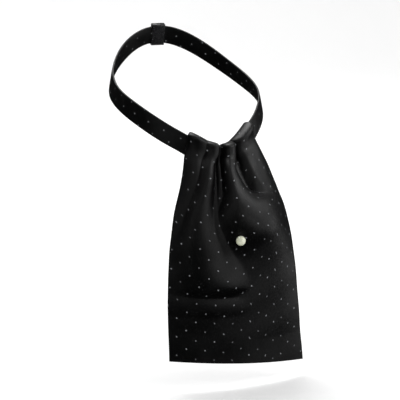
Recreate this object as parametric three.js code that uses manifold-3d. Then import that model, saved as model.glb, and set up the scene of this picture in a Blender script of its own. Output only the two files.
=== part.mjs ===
// An ascot tie of black cloth, shaped as it is worn: a neckband that goes round the neck,
// a wide front blade gathered into four rolls that fold over the band at the throat,
// a plain under blade behind it, a slide that joins the band at the nape, and a pearl on a pin.
//
// Lengths are in millimetres. +Z is up, the throat faces -Y and the nape +Y.
// The origin is the middle of the loop that goes round the neck.

import * as THREE from 'three';
import { mergeVertices } from 'three/addons/utils/BufferGeometryUtils.js';
import Module from 'manifold-3d';

const wasm = await Module();
wasm.setup();

// The loop round the neck. Its middle line is an ellipse seen from above; it rises
// from the throat to the nape, dips at the throat and is pulled down there by the blades.
const neck = {
	halfWidth: 64,
	halfDepth: 72,
	rise: 37,
	sideDip: 1.1,
	throatDip: 4.9,
	pull: 8, // the blades' weight pulls the band down this far, round pullMiddle
	pullMiddle: 0.1, // radians from the throat
	pullReach: 0.7, // to each side
	flare: THREE.MathUtils.degToRad( 13 ), // the band leans out towards its lower edge
};

const band = {
	width: 16,
	thickness: 2.2,
	corner: 0.6,
	endGap: 0.8, // between the two ends, inside the slide
	steps: 84,
	cornerSteps: 1,
};

const cloth = { thickness: 1.8, clearance: 0.55 };

const slide = { length: 12, wall: 1.2, clearance: 0.7, corner: 1.2, cornerSteps: 2 };

const pearl = { diameter: 8.1, gapToCup: 0.15, sides: 16, rings: 12 };

const pin = {
	drop: 77.2, // below the top of the band
	across: 0.495, // share of the blade's width, from its left edge
	postRadius: 0.6,
	holeClearance: 0.35,
	cupRadius: 2.6,
	cupDepth: 1.3,
	clothClearance: 0.35,
	keeperRadius: 3.2,
	keeperThickness: 1,
	cupFloor: 0.45, // share of the cup's depth
	cupRim: 0.8, // the rim's inner radius, and the cup's foot, as shares of the cup's radius
	cupFoot: 0.6,
	turnSides: 16,
	drillLength: 14,
	drillSides: 12,
	aside: 0.02, // share of the width to each side, where the cloth's slope is taken
	below: 1, // and the same up and down, in mm
};

const chestTop = - 33; // the height where the rows of the front blade begin
const mergeWithin = 1e-4; // corners nearer than this are one corner

// The front blade, in rows down from the top of the band. Forward is how far its
// middle stands in front of the neck's axis, bend the radius that it bends round the
// chest with, and lift and lean shape its rows: up at both sides, and up at the right.
const bladeRows = [
	{ drop: 0, forward: 75.0, bend: 54, left: - 26.9, right: 36.7, lift: 0.0091, lean: 0.00 },
	{ drop: 15, forward: 79.0, bend: 52, left: - 28.1, right: 36.6, lift: 0.0080, lean: 0.01 },
	{ drop: 40, forward: 95.5, bend: 46, left: - 35.4, right: 44.8, lift: 0.0060, lean: 0.03 },
	{ drop: 70, forward: 109.0, bend: 54, left: - 45.6, right: 54.4, lift: 0.0040, lean: 0.05 },
	{ drop: 100, forward: 112.0, bend: 75, left: - 51.4, right: 59.4, lift: 0.0030, lean: 0.06 },
	{ drop: 140, forward: 113.0, bend: 117, left: - 54.6, right: 64.4, lift: 0.0016, lean: 0.02 },
	{ drop: 184, forward: 113.5, bend: 180, left: - 55.2, right: 69.0, lift: 0.0000, lean: - 0.03 },
];

// Every fold of the front blade, from its left edge to its right. From, crest and to are its
// left border, highest line and right border as shares of the blade's width, high is its height,
// and sharp the power of its section: 0.5 is a full roll with steep sides, 2 a soft swell.
const folds = {
	leftRoll: [
		{ drop: 0, from: 0.000, crest: 0.110, to: 0.260, high: 6.5, sharp: 0.50 },
		{ drop: 20, from: 0.000, crest: 0.120, to: 0.250, high: 6.0, sharp: 0.70 },
		{ drop: 35, from: - 0.030, crest: 0.115, to: 0.200, high: 4.2, sharp: 1.00 },
		{ drop: 60, from: - 0.080, crest: 0.050, to: 0.120, high: 2.6, sharp: 1.40 },
		{ drop: 85, from: - 0.100, crest: 0.030, to: 0.090, high: 0.0, sharp: 2.00 },
	],
	secondRoll: [
		{ drop: 0, from: 0.190, crest: 0.300, to: 0.385, high: 9.0, sharp: 0.50 },
		{ drop: 10, from: 0.190, crest: 0.290, to: 0.375, high: 9.0, sharp: 0.50 },
		{ drop: 24, from: 0.170, crest: 0.260, to: 0.335, high: 8.8, sharp: 0.60 },
		{ drop: 40, from: 0.120, crest: 0.215, to: 0.300, high: 7.6, sharp: 0.80 },
		{ drop: 56, from: 0.060, crest: 0.175, to: 0.290, high: 6.2, sharp: 1.20 },
		{ drop: 74, from: 0.010, crest: 0.160, to: 0.320, high: 5.0, sharp: 1.60 },
		{ drop: 90, from: - 0.020, crest: 0.170, to: 0.400, high: 4.6, sharp: 1.80 },
		{ drop: 106, from: 0.000, crest: 0.220, to: 0.520, high: 4.4, sharp: 2.00 },
		{ drop: 114, from: 0.020, crest: 0.280, to: 0.600, high: 4.2, sharp: 2.00 },
		{ drop: 120, from: 0.040, crest: 0.320, to: 0.640, high: 3.4, sharp: 2.00 },
		{ drop: 124, from: 0.050, crest: 0.340, to: 0.640, high: 0.8, sharp: 2.00 },
		{ drop: 127, from: 0.050, crest: 0.340, to: 0.640, high: 0.0, sharp: 2.00 },
	],
	innerRidge: [
		{ drop: 6, from: 0.400, crest: 0.425, to: 0.455, high: 0.0, sharp: 1.20 },
		{ drop: 18, from: 0.375, crest: 0.405, to: 0.440, high: 1.8, sharp: 1.20 },
		{ drop: 36, from: 0.340, crest: 0.375, to: 0.410, high: 2.2, sharp: 1.20 },
		{ drop: 48, from: 0.330, crest: 0.370, to: 0.420, high: 1.4, sharp: 1.50 },
		{ drop: 60, from: 0.330, crest: 0.380, to: 0.440, high: 0.0, sharp: 2.00 },
	],
	thirdRoll: [
		{ drop: 0, from: 0.475, crest: 0.550, to: 0.704, high: 9.0, sharp: 0.50 },
		{ drop: 10, from: 0.460, crest: 0.530, to: 0.690, high: 9.4, sharp: 0.50 },
		{ drop: 24, from: 0.430, crest: 0.485, to: 0.595, high: 9.8, sharp: 0.55 },
		{ drop: 32, from: 0.415, crest: 0.480, to: 0.610, high: 10.4, sharp: 0.60 },
		{ drop: 40, from: 0.395, crest: 0.485, to: 0.650, high: 11.0, sharp: 0.75 },
		{ drop: 48, from: 0.365, crest: 0.510, to: 0.760, high: 11.8, sharp: 0.90 },
		{ drop: 56, from: 0.335, crest: 0.555, to: 0.950, high: 12.4, sharp: 1.00 },
		{ drop: 65, from: 0.345, crest: 0.615, to: 1.040, high: 12.4, sharp: 1.15 },
		{ drop: 77, from: 0.390, crest: 0.700, to: 1.080, high: 11.0, sharp: 1.40 },
		{ drop: 90, from: 0.440, crest: 0.790, to: 1.100, high: 8.2, sharp: 1.70 },
		{ drop: 108, from: 0.440, crest: 0.860, to: 1.150, high: 4.8, sharp: 2.00 },
		{ drop: 135, from: 0.400, crest: 0.900, to: 1.200, high: 2.0, sharp: 2.00 },
		{ drop: 165, from: 0.400, crest: 0.900, to: 1.200, high: 0.0, sharp: 2.00 },
	],
	rightRoll: [
		{ drop: 0, from: 0.704, crest: 0.800, to: 1.000, high: 6.5, sharp: 0.50 },
		{ drop: 12, from: 0.695, crest: 0.760, to: 1.020, high: 7.0, sharp: 0.55 },
		{ drop: 24, from: 0.675, crest: 0.745, to: 1.050, high: 7.2, sharp: 0.80 },
		{ drop: 36, from: 0.680, crest: 0.770, to: 1.080, high: 6.6, sharp: 1.10 },
		{ drop: 48, from: 0.700, crest: 0.820, to: 1.100, high: 5.6, sharp: 1.40 },
		{ drop: 62, from: 0.680, crest: 0.860, to: 1.150, high: 3.4, sharp: 1.80 },
		{ drop: 80, from: 0.640, crest: 0.870, to: 1.150, high: 0.0, sharp: 2.00 },
	],
	belly: [
		{ drop: 70, from: 0.160, crest: 0.340, to: 0.600, high: 0.0, sharp: 2.00 },
		{ drop: 80, from: 0.140, crest: 0.340, to: 0.600, high: 0.0, sharp: 2.00 },
		{ drop: 90, from: 0.100, crest: 0.340, to: 0.600, high: 0.4, sharp: 2.00 },
		{ drop: 104, from: 0.070, crest: 0.340, to: 0.620, high: 2.8, sharp: 2.00 },
		{ drop: 114, from: 0.040, crest: 0.340, to: 0.640, high: 4.6, sharp: 1.80 },
		{ drop: 120, from: 0.030, crest: 0.340, to: 0.640, high: 4.2, sharp: 1.80 },
		{ drop: 124, from: 0.020, crest: 0.340, to: 0.640, high: 1.0, sharp: 1.80 },
		{ drop: 127, from: 0.020, crest: 0.340, to: 0.640, high: 0.0, sharp: 1.80 },
	],
	buckle: [
		{ drop: 126, from: - 0.400, crest: 0.250, to: 0.680, high: 0.0, sharp: 1.20 },
		{ drop: 132, from: - 0.400, crest: 0.250, to: 0.680, high: 1.2, sharp: 1.20 },
		{ drop: 138, from: - 0.400, crest: 0.250, to: 0.680, high: 1.2, sharp: 1.20 },
		{ drop: 143, from: - 0.400, crest: 0.250, to: 0.680, high: 0.1, sharp: 1.20 },
		{ drop: 146, from: - 0.400, crest: 0.250, to: 0.680, high: 0.0, sharp: 1.20 },
	],
};

// Where the rolls meet, as shares of the blade's width, and further down plain quarters of it.
const creaseRows = [
	{ drop: 0, first: 0.220, second: 0.430, third: 0.704 },
	{ drop: 10, first: 0.215, second: 0.420, third: 0.700 },
	{ drop: 24, first: 0.200, second: 0.385, third: 0.640 },
	{ drop: 40, first: 0.170, second: 0.345, third: 0.675 },
	{ drop: 58, first: 0.180, second: 0.370, third: 0.740 },
	{ drop: 80, first: 0.250, second: 0.500, third: 0.750 },
];

const frontBlade = {
	evenFrom: 58, // from this drop down the columns are evenly spaced between the creases
	columnsPerRoll: 10,
	tuckBottom: - 7, // on the band's own height, behind it
	tuckRows: 3,
	crestRows: 7,
	crestFloor: 1.3, // how far the valleys clear the band's top
	crestSwell: 0.3, // the crest's height over its half depth
	rowDrops: [ 3.5, 7, 11, 15, 19, 23, 27.5, 32, 37, 42, 47, 52.5, 58, 64, 70, 77, 84, 91, 98, 105,
		112, 118, 123, 127, 130.5, 133.5, 136.5, 139.5, 143, 147, 151, 157, 165, 174, 184 ],
	headBlend: 26, // the cloth leaves the band's shape for the chest's over this drop
};

const underBlade = {
	columns: 18,
	topOnBand: 6, // on the band's own height, in front of it
	rowDrops: [ 0, 6, 12, 20, 30, 42, 56, 70, 85, 100, 115, 130, 145, 160 ],
	behindHead: 2.35, // from the front blade's floor to this sheet, middle to middle
	behindChest: 4.2,
	looseBy: 50, // the drop where it lies that far behind
	headHalf: 19,
	chestHalf: 54,
	flareEnd: 150,
	middle: 6,
};

const clothBlack = new THREE.MeshStandardMaterial( { color: 0x0d0d0f, roughness: 0.5, metalness: 0 } );
const slideBlack = new THREE.MeshStandardMaterial( { color: 0x1c1c1f, roughness: 0.35, metalness: 0.8 } );
const pearlCream = new THREE.MeshStandardMaterial( { color: 0xf0eddc, roughness: 0.2, metalness: 0 } );
const pinSilver = new THREE.MeshStandardMaterial( { color: 0xc6c7c8, roughness: 0.25, metalness: 1 } );

const smooth = ( x ) => THREE.MathUtils.smootherstep( x, 0, 1 );

// A table's column at any drop: a cubic through its rows, level beyond its ends.
function valueAt( rows, column, drop ) {

	const last = rows.length - 1;
	if ( drop <= rows[ 0 ].drop ) return rows[ 0 ][ column ];
	if ( drop >= rows[ last ].drop ) return rows[ last ][ column ];
	const i = rows.findIndex( ( row ) => row.drop > drop ) - 1;
	const slope = ( k ) => {

		const low = rows[ Math.max( k - 1, 0 ) ];
		const high = rows[ Math.min( k + 1, last ) ];
		return ( high[ column ] - low[ column ] ) / ( high.drop - low.drop );

	};

	const span = rows[ i + 1 ].drop - rows[ i ].drop;
	const t = ( drop - rows[ i ].drop ) / span;
	const rest = 1 - t;
	return rows[ i ][ column ] * ( 1 + 2 * t ) * rest * rest
		+ slope( i ) * span * t * rest * rest
		+ rows[ i + 1 ][ column ] * t * t * ( 3 - 2 * t )
		- slope( i + 1 ) * span * t * t * rest;

}

// The band's middle line at an angle from the throat, with its outward and upward directions.
function neckLoop( angle ) {

	const { halfWidth, halfDepth, rise, sideDip, throatDip, flare, pull, pullMiddle, pullReach } = neck;
	const sin = Math.sin( angle );
	const cos = Math.cos( angle );
	const off = THREE.MathUtils.clamp( ( angle - pullMiddle ) / pullReach, - 1, 1 );
	const near = 1 - off * off;
	const height = sideDip * ( Math.cos( 2 * angle ) - 1 ) - throatDip * Math.cos( 3 * angle )
		- rise * cos - pull * near ** 3;
	const slope = 3 * throatDip * Math.sin( 3 * angle ) - 2 * sideDip * Math.sin( 2 * angle )
		+ rise * sin + 6 * pull * off * near ** 2 / pullReach;
	const point = new THREE.Vector3( halfWidth * sin, - halfDepth * cos, height );
	const along = new THREE.Vector3( halfWidth * cos, halfDepth * sin, slope ).normalize();
	const level = new THREE.Vector3( sin / halfWidth, - cos / halfDepth, 0 ).normalize();
	const leaning = level.multiplyScalar( Math.cos( flare ) ).setZ( Math.sin( flare ) );
	const up = new THREE.Vector3().crossVectors( leaning, along ).normalize();
	const out = new THREE.Vector3().crossVectors( along, up );
	return { point, along, up, out };

}

// A point in front of or behind the band (out), at a height on its width (up), at a sideways place.
function onBand( sideways, out, up ) {

	const loop = neckLoop( Math.asin( sideways / neck.halfWidth ) );
	return loop.point.addScaledVector( loop.out, out ).addScaledVector( loop.up, up );

}

// The fold height of the front blade at a share across it and a drop.
function foldHeight( across, drop ) {

	const union = 3; // overlapping folds join like this power mean, without adding up
	let sum = 0;
	for ( const rows of Object.values( folds ) ) {

		const high = valueAt( rows, 'high', drop );
		const crest = valueAt( rows, 'crest', drop );
		const border = valueAt( rows, across < crest ? 'from' : 'to', drop );
		const off = ( across - crest ) / ( border - crest );
		if ( high <= 0 || Math.abs( off ) >= 1 ) continue;
		sum += ( high * ( 1 - off * off ) ** valueAt( rows, 'sharp', drop ) ) ** union;

	}

	return Math.cbrt( sum );

}

// The chest that the blades lie on: a point at a sideways place and a drop,
// moved back by behind, and the outward direction there.
function onChest( sideways, drop, behind ) {

	const columns = [ 'forward', 'bend', 'lift', 'lean' ];
	const [ forward, bend, lift, lean ] = columns.map( ( column ) => valueAt( bladeRows, column, drop ) );
	const point = new THREE.Vector3(
		sideways,
		sideways * sideways / ( 2 * bend ) - forward,
		chestTop + lift * sideways * sideways + lean * sideways - drop,
	);
	const out = new THREE.Vector3( sideways / bend, - 1, Math.tan( neck.flare ) ).normalize();
	return { point: point.addScaledVector( out, - behind ), out };

}

// How far in front of the band's middle the blades lie at the head, and behind it the tuck.
const nearOut = band.thickness / 2 + cloth.clearance + cloth.thickness / 2;
const floorOut = nearOut + cloth.clearance + cloth.thickness;

function sidewaysAt( across, drop ) {

	const [ left, right ] = [ 'left', 'right' ].map( ( column ) => valueAt( bladeRows, column, drop ) );
	return THREE.MathUtils.lerp( left, right, across );

}

// A point of the front blade's middle surface, below its crest.
function frontPoint( across, drop ) {

	const blend = smooth( drop / frontBlade.headBlend );
	const chest = onChest( sidewaysAt( across, drop ), drop, 0 );
	const atTop = sidewaysAt( across, 0 );
	const head = onBand( atTop, floorOut, band.width / 2 - drop );
	head.x = onBand( atTop, floorOut, band.width / 2 ).x + sidewaysAt( across, drop ) - atTop;
	const out = neckLoop( Math.asin( atTop / neck.halfWidth ) ).out.lerp( chest.out, blend ).normalize();
	return head.lerp( chest.point, blend ).addScaledVector( out, foldHeight( across, drop ) );

}

// A point of the crest, where the cloth folds over the band: turn 0 is in front, 1 behind.
function crestPoint( across, turn ) {

	const front = floorOut + foldHeight( across, 0 );
	const halfDepth = ( front + nearOut ) / 2;
	const high = frontBlade.crestFloor + frontBlade.crestSwell * halfDepth;
	return onBand(
		sidewaysAt( across, 0 ),
		( front - nearOut ) / 2 + halfDepth * Math.cos( Math.PI * turn ),
		band.width / 2 + high * Math.sin( Math.PI * turn ),
	);

}

// The columns' shares across the front blade: close together beside the creases
// at the top, even lower down.
function columnShares( drop ) {

	const { columnsPerRoll, evenFrom } = frontBlade;
	const inner = [ 'first', 'second', 'third' ].map( ( crease ) => valueAt( creaseRows, crease, drop ) );
	const creases = [ 0, ...inner, 1 ];
	const shares = [ 0 ];
	for ( let roll = 0; roll < creases.length - 1; roll ++ ) {

		for ( let k = 1; k <= columnsPerRoll; k ++ ) {

			const even = k / columnsPerRoll;
			const close = ( 1 - Math.cos( Math.PI * even ) ) / 2;
			const within = THREE.MathUtils.lerp( close, even, smooth( drop / evenFrom ) );
			shares.push( THREE.MathUtils.lerp( creases[ roll ], creases[ roll + 1 ], within ) );

		}

	}

	return shares;

}

function frontBladeGrid() {

	const { tuckBottom, tuckRows, crestRows, rowDrops } = frontBlade;
	const head = columnShares( 0 );
	const grid = [];
	for ( let k = 0; k < tuckRows; k ++ ) {

		const up = THREE.MathUtils.lerp( tuckBottom, band.width / 2, k / tuckRows );
		grid.push( head.map( ( share ) => onBand( sidewaysAt( share, 0 ), - nearOut, up ) ) );

	}

	for ( let k = 0; k <= crestRows; k ++ ) {

		grid.push( head.map( ( share ) => crestPoint( share, 1 - k / crestRows ) ) );

	}

	for ( const drop of rowDrops ) {

		grid.push( columnShares( drop ).map( ( share ) => frontPoint( share, drop ) ) );

	}

	return grid;

}

// The under blade: plain and smooth, on the chest behind the front one.
function underBladeGrid() {

	const { columns, topOnBand, rowDrops, behindHead, behindChest, looseBy } = underBlade;
	const { headHalf, chestHalf, flareEnd, middle } = underBlade;
	return rowDrops.map( ( drop ) => {

		const points = [];
		for ( let k = 0; k <= columns; k ++ ) {

			const share = k / columns;
			const opened = Math.sin( Math.min( drop / flareEnd, 1 ) * Math.PI / 2 );
			const half = THREE.MathUtils.lerp( headHalf, chestHalf, opened );
			const sideways = middle * opened + half * ( 2 * share - 1 );
			const blend = smooth( drop / frontBlade.headBlend );
			const head = onBand( sideways, nearOut, topOnBand - drop );
			const behind = THREE.MathUtils.lerp( behindHead, behindChest, smooth( drop / looseBy ) );
			const chest = onChest( sideways, drop + band.width / 2 - topOnBand, behind );
			points.push( head.lerp( chest.point, blend ) );

		}

		return points;

	} );

}

// A rectangle with rounded corners, as points [ out, up ], each corner drawn in a few steps.
function roundedSection( halfOut, halfUp, corner, cornerSteps ) {

	const points = [];
	for ( let quarter = 0; quarter < 4; quarter ++ ) {

		const signOut = quarter === 0 || quarter === 3 ? 1 : - 1;
		const signUp = quarter < 2 ? 1 : - 1;
		for ( let k = 0; k <= cornerSteps; k ++ ) {

			const turn = ( quarter + k / cornerSteps ) * Math.PI / 2;
			points.push( [
				signOut * ( halfOut - corner ) + corner * Math.cos( turn ),
				signUp * ( halfUp - corner ) + corner * Math.sin( turn ),
			] );

		}

	}

	return points;

}

// The faces between rings of points, one after another; a tube's last ring joins its first,
// and a bar is closed with a flat face at each end.
function solidFromRings( rings, isTube ) {

	const count = rings[ 0 ].length;
	const index = [];
	const spans = isTube ? rings.length : rings.length - 1;
	for ( let r = 0; r < spans; r ++ ) {

		for ( let k = 0; k < count; k ++ ) {

			const [ near, far ] = [ r * count, ( r + 1 ) % rings.length * count ];
			const next = ( k + 1 ) % count;
			index.push( near + k, far + k, near + next, near + next, far + k, far + next );

		}

	}

	const last = ( rings.length - 1 ) * count;
	for ( let k = 1; k < count - 1 && ! isTube; k ++ ) {

		index.push( 0, k, k + 1, last, last + k + 1, last + k );

	}

	return indexed( rings.flat().flatMap( ( p ) => p.toArray() ), index );

}

// Gives a grid of points a thickness, half to each side, and closes its rim.
function sheetGeometry( grid, thickness ) {

	const rows = grid.length;
	const columns = grid[ 0 ].length;
	const inside = ( k, count ) => THREE.MathUtils.clamp( k, 0, count - 1 );
	const at = ( r, c ) => grid[ inside( r, rows ) ][ inside( c, columns ) ];
	const sides = [ [], [] ];
	for ( let r = 0; r < rows; r ++ ) {

		for ( let c = 0; c < columns; c ++ ) {

			const down = at( r + 1, c ).clone().sub( at( r - 1, c ) );
			const across = at( r, c + 1 ).clone().sub( at( r, c - 1 ) );
			const normal = down.cross( across ).normalize();
			sides[ 0 ].push( at( r, c ).clone().addScaledVector( normal, thickness / 2 ) );
			sides[ 1 ].push( at( r, c ).clone().addScaledVector( normal, - thickness / 2 ) );

		}

	}

	const front = ( r, c ) => r * columns + c;
	const back = ( r, c ) => rows * columns + r * columns + c;
	const index = [];
	const quad = ( a, b, c, d ) => index.push( a, b, c, a, c, d );
	for ( let r = 0; r < rows - 1; r ++ ) {

		for ( let c = 0; c < columns - 1; c ++ ) {

			quad( front( r, c ), front( r + 1, c ), front( r + 1, c + 1 ), front( r, c + 1 ) );
			quad( back( r, c ), back( r, c + 1 ), back( r + 1, c + 1 ), back( r + 1, c ) );

		}

		quad( front( r, 0 ), back( r, 0 ), back( r + 1, 0 ), front( r + 1, 0 ) );
		const end = columns - 1;
		quad( front( r, end ), front( r + 1, end ), back( r + 1, end ), back( r, end ) );

	}

	for ( let c = 0; c < columns - 1; c ++ ) {

		quad( front( 0, c ), front( 0, c + 1 ), back( 0, c + 1 ), back( 0, c ) );
		quad( front( rows - 1, c ), back( rows - 1, c ), back( rows - 1, c + 1 ), front( rows - 1, c + 1 ) );

	}

	return indexed( sides.flat().flatMap( ( p ) => p.toArray() ), index );

}

function indexed( positions, index ) {

	return new THREE.BufferGeometry()
		.setAttribute( 'position', new THREE.Float32BufferAttribute( positions, 3 ) )
		.setIndex( index );

}

// The band: a flat section with rounded edges, carried round the loop
// from one side of the nape to the other.
function neckbandGeometry() {

	const section = roundedSection( band.thickness / 2, band.width / 2, band.corner, band.cornerSteps );
	const end = Math.PI - band.endGap / 2 / neck.halfWidth;
	const rings = [];
	for ( let k = 0; k <= band.steps; k ++ ) {

		const loop = neckLoop( THREE.MathUtils.lerp( - end, end, k / band.steps ) );
		rings.push( section.map( ( [ out, up ] ) => loop.point.clone()
			.addScaledVector( loop.out, out ).addScaledVector( loop.up, up ) ) );

	}

	return solidFromRings( rings, false );

}

// The slide: a flat metal sleeve round the band's two ends.
function slideGeometry() {

	const { length, wall, clearance, corner, cornerSteps } = slide;
	const inner = [ band.thickness / 2 + clearance, band.width / 2 + clearance ];
	const insideSection = roundedSection( ...inner, band.corner, cornerSteps );
	const outsideSection = roundedSection( ...inner.map( ( half ) => half + wall ), corner, cornerSteps );
	const nape = neckLoop( Math.PI );
	const ring = ( section, shift ) => section.map( ( [ out, up ] ) => nape.point.clone()
		.addScaledVector( nape.out, out ).addScaledVector( nape.up, up ).addScaledVector( nape.along, shift ) );
	return solidFromRings( [
		ring( outsideSection, - length / 2 ),
		ring( outsideSection, length / 2 ),
		ring( insideSection, length / 2 ),
		ring( insideSection, - length / 2 ),
	], true );

}

function asSolid( geometry ) {

	const bare = mergeVertices( new THREE.BufferGeometry()
		.setAttribute( 'position', geometry.getAttribute( 'position' ) )
		.setIndex( geometry.getIndex() ), mergeWithin );
	return new wasm.Manifold( new wasm.Mesh( {
		numProp: 3,
		vertProperties: bare.getAttribute( 'position' ).array,
		triVerts: new Uint32Array( bare.getIndex().array ),
	} ) );

}

// The hole that the pin's post passes through, cut out of the front blade.
function withPinHole( geometry ) {

	const radius = pin.postRadius + pin.holeClearance;
	const drill = new THREE.CylinderGeometry( radius, radius, pin.drillLength, pin.drillSides )
		.applyQuaternion( pinTurn ).translate( ...pinPlace.toArray() );
	const cut = asSolid( geometry ).subtract( asSolid( drill ) ).getMesh();
	return indexed( cut.vertProperties, Array.from( cut.triVerts ) );

}

function named( name, geometry, material ) {

	const mesh = new THREE.Mesh( geometry, material );
	mesh.name = name;
	return mesh;

}

// Where the pin goes through the front blade, and the turn that stands it on the cloth there.
const pinPlace = frontPoint( pin.across, pin.drop );
const pinDown = frontPoint( pin.across, pin.drop + pin.below )
	.sub( frontPoint( pin.across, pin.drop - pin.below ) );
const pinAside = frontPoint( pin.across + pin.aside, pin.drop )
	.sub( frontPoint( pin.across - pin.aside, pin.drop ) );
const pinOut = pinDown.cross( pinAside ).normalize();
const pinTurn = new THREE.Quaternion().setFromUnitVectors( new THREE.Vector3( 0, 1, 0 ), pinOut );

// The pin, turned about its own axis: a keeper behind the cloth, the post, and the cup in front.
function pinGeometry() {

	const { postRadius, cupRadius, cupDepth, cupFloor, cupRim, cupFoot } = pin;
	const { clothClearance, keeperRadius, keeperThickness, turnSides } = pin;
	const face = cloth.thickness / 2 + clothClearance;
	const profile = [
		[ 0, - face - keeperThickness ],
		[ keeperRadius, - face - keeperThickness ],
		[ keeperRadius, - face ],
		[ postRadius, - face ],
		[ postRadius, face ],
		[ cupRadius * cupFoot, face ],
		[ cupRadius, face + cupDepth ],
		[ cupRadius * cupRim, face + cupDepth ],
		[ 0, face + cupDepth * cupFloor ],
	];
	return new THREE.LatheGeometry( profile.map( ( [ r, y ] ) => new THREE.Vector2( r, y ) ), turnSides );

}

// The pearl, resting just clear of the cup's rim.
function pearlGeometry() {

	const radius = pearl.diameter / 2;
	const rimTop = cloth.thickness / 2 + pin.clothClearance + pin.cupDepth;
	const middle = rimTop + pearl.gapToCup + Math.sqrt( radius ** 2 - ( pin.cupRadius * pin.cupRim ) ** 2 );
	return new THREE.SphereGeometry( radius, pearl.sides, pearl.rings ).translate( 0, middle, 0 );

}

function ascotTie() {

	const tie = new THREE.Group();
	const underCloth = sheetGeometry( underBladeGrid(), cloth.thickness );
	const frontCloth = withPinHole( sheetGeometry( frontBladeGrid(), cloth.thickness ) );
	tie.add(
		named( 'neckband', neckbandGeometry(), clothBlack ),
		named( 'under_blade', underCloth, clothBlack ),
		named( 'front_blade', frontCloth, clothBlack ),
		named( 'band_slide', slideGeometry(), slideBlack ),
	);

	const pinned = new THREE.Group();
	pinned.position.copy( pinPlace );
	pinned.quaternion.copy( pinTurn );
	pinned.add(
		named( 'pearl', pearlGeometry(), pearlCream ),
		named( 'pearl_pin', pinGeometry(), pinSilver ),
	);
	tie.add( pinned );
	return tie;

}

export default ascotTie();
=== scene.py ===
import bmesh
import bpy
import numpy as np
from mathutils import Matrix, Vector


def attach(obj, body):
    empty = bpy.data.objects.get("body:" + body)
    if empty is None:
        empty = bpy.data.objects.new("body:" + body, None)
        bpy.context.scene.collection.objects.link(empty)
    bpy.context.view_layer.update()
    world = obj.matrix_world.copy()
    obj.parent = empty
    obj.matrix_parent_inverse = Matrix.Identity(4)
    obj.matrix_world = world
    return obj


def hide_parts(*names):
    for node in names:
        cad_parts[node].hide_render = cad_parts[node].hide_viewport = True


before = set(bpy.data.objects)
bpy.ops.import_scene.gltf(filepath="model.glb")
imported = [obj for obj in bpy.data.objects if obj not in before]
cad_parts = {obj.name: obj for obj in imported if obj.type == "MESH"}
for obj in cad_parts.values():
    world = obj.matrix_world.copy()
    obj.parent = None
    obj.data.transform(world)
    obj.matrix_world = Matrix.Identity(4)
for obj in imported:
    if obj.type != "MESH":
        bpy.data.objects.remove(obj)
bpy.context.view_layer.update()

mm = 0.001                                 # shapes are worked out in millimetres and put in as metres

# camera

cameraSetup = {
    "position": (-529.21, -1389.03, 201.33),
    "target": (5.75, -19.37, -95.06),
    "lens": 154.09,
    "sensor": 36.0,
}


def makeCamera(setup):
    data = bpy.data.cameras.new("camera")
    data.lens = setup["lens"]
    data.sensor_width = setup["sensor"]
    data.sensor_fit = "HORIZONTAL"
    data.clip_start, data.clip_end = 0.05, 30
    camera = bpy.data.objects.new("camera", data)
    bpy.context.scene.collection.objects.link(camera)
    place, target = Vector(setup["position"]) * mm, Vector(setup["target"]) * mm
    camera.location = place
    camera.rotation_euler = (target - place).to_track_quat("-Z", "Y").to_euler()
    bpy.context.scene.camera = camera


makeCamera(cameraSetup)
print("stage: camera")

# small helpers


def rowsOf(names, rows):
    # a short table as one array for each named column
    return dict(zip(names.split(), np.array(rows, float).T))


def valueAt(table, column, drop):
    # a cubic through the table's rows, level beyond its ends
    d, v = table["drop"], table[column]
    n = len(d)
    low, high = np.maximum(np.arange(n) - 1, 0), np.minimum(np.arange(n) + 1, n - 1)
    slope = (v[high] - v[low]) / (d[high] - d[low])
    at = np.clip(drop, d[0], d[-1])
    i = np.clip(np.searchsorted(d, at, side="right") - 1, 0, n - 2)
    span = d[i + 1] - d[i]
    t = (at - d[i]) / span
    rest = 1 - t
    return (v[i] * (1 + 2 * t) * rest ** 2 + slope[i] * span * t * rest ** 2
            + v[i + 1] * t ** 2 * (3 - 2 * t) - slope[i + 1] * span * t ** 2 * rest)


def smooth(x):
    x = np.clip(x, 0, 1)
    return x ** 3 * (x * (6 * x - 15) + 10)


def mix(a, b, t):
    return a + (b - a) * t


def vec(x, y, z):
    return np.stack(np.broadcast_arrays(x, y, z), -1).astype(float)


def unit(v):
    return v / np.linalg.norm(v, axis=-1, keepdims=True)


def arcAlong(points, axis):
    # the length walked along one direction of a grid, from its first row or column
    steps = np.linalg.norm(np.diff(points, axis=axis), axis=-1)
    return np.insert(np.cumsum(steps, axis=axis), 0, 0, axis=axis)


def makePiece(name, points, faces, materials, uv=None, edge=None, faceMaterial=None):
    # points in millimetres, faces as vertex numbers, one value of uv and edge for each point
    mesh = bpy.data.meshes.new(name)
    faces = faces if isinstance(faces, list) else faces.tolist()
    mesh.from_pydata((points * mm).tolist(), [], faces)
    mesh.shade_smooth()
    loops = np.empty(len(mesh.loops), np.int32)
    mesh.loops.foreach_get("vertex_index", loops)
    if uv is not None:
        layer = mesh.uv_layers.new(name="clothMap")
        layer.data.foreach_set("uv", uv[loops].astype(np.float32).ravel())
    if edge is not None:
        wear = mesh.attributes.new("edgeWear", "FLOAT", "POINT")
        wear.data.foreach_set("value", edge.astype(np.float32))
    for material in materials:
        mesh.materials.append(material)
    if faceMaterial is not None:
        mesh.polygons.foreach_set("material_index", faceMaterial.astype(np.int32))
    mesh.update()
    piece = bpy.data.objects.new(name, mesh)
    bpy.context.scene.collection.objects.link(piece)
    return piece


def gridFaces(number, flip=False):
    # quads of a grid of vertex numbers
    a, b, c, d = number[:-1, :-1], number[1:, :-1], number[1:, 1:], number[:-1, 1:]
    quads = np.stack([a, b, c, d], -1).reshape(-1, 4)
    return quads[:, ::-1] if flip else quads


# materials


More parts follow.
